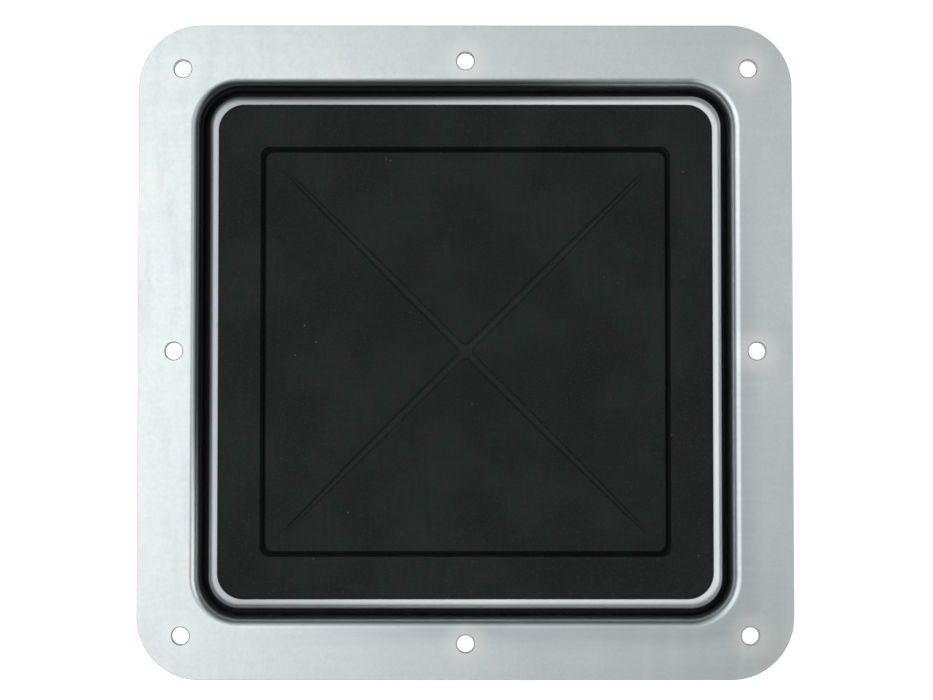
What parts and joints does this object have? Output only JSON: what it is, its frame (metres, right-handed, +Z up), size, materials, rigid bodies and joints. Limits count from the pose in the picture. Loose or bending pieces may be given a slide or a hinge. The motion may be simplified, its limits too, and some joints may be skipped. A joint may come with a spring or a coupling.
{
  "type": "deck hatch",
  "caption": "Square flush deck hatch: flanged steel frame, seal and lifting lid raised by a handwheel below for ventilation.",
  "frame": {"origin": "centre of the hatch in the plane where the deck gasket lies on the deck", "axes": "+Z up, out of the deck; +X towards the lid's right-hand guide rod, along the bridge bar; +Y towards the back of the hatch, the top of the view from above"},
  "size_m": [0.25, 0.25, 0.1021],
  "materials": {
    "satin_steel": "satin stainless sheet",
    "rim_steel": "polished stainless edge",
    "bar_steel": "mill-finish stainless bar",
    "screw_steel": "bright stainless",
    "gasket_rubber": "matte black cellular rubber",
    "insert_rubber": "matte charcoal moulded rubber with a fine cloth grain",
    "wheel_nylon": "black glass-filled nylon",
    "white_acetal": "natural white acetal",
    "bronze": "turned bronze"
  },
  "bodies": {
    "frame": {"deck_frame": "satin_steel", "deck_gasket": "gasket_rubber", "seal_ledge": "satin_steel", "lid_seal": "gasket_rubber", "bridge_bar": "bar_steel", "bearing_housing": "satin_steel", "guide_bush_left": "white_acetal", "guide_bush_right": "white_acetal", "bridge_bolt_1": "screw_steel", "bridge_bolt_2": "screw_steel", "bridge_bolt_3": "screw_steel", "bridge_bolt_4": "screw_steel", "bridge_nut_1": "screw_steel", "bridge_nut_2": "screw_steel", "bridge_nut_3": "screw_steel", "bridge_nut_4": "screw_steel", "housing_screw_1": "screw_steel", "housing_screw_2": "screw_steel", "housing_screw_3": "screw_steel", "housing_screw_4": "screw_steel", "housing_nut_1": "screw_steel", "housing_nut_2": "screw_steel", "housing_nut_3": "screw_steel", "housing_nut_4": "screw_steel"},
    "wheel": {"drive_nut": "bronze", "handwheel": "wheel_nylon", "thrust_washer_upper": "white_acetal", "thrust_washer_lower": "white_acetal", "retaining_ring": "screw_steel", "wheel_screw_1": "screw_steel", "wheel_screw_2": "screw_steel", "wheel_screw_3": "screw_steel"},
    "lid": {"lid_tray": "rim_steel", "lid_insert": "insert_rubber", "lid_brace": "bar_steel", "spindle": "screw_steel", "guide_rod_left": "screw_steel", "guide_rod_right": "screw_steel", "stop_washer": "screw_steel", "stop_screw": "screw_steel", "brace_nut_1": "screw_steel", "brace_nut_2": "screw_steel", "brace_nut_3": "screw_steel", "brace_nut_4": "screw_steel", "brace_nut_5": "screw_steel", "brace_nut_6": "screw_steel", "brace_nut_7": "screw_steel", "brace_nut_8": "screw_steel"}
  },
  "joints": [
    {"name": "wheel_turn", "type": "hinge", "parent": "frame", "child": "wheel", "pos_m": [0, 0, -0.06], "axis": [0, 0, -1], "range_deg": [0, 2160.01]},
    {"name": "lid_lift", "type": "slide", "parent": "frame", "child": "lid", "axis": [0, 0, 1], "range_m": [0, 0.036]}
  ],
  "couplings": [
    {"joint": "wheel_turn", "follows": "lid_lift", "rad_per_m": 1047.2}
  ]
}
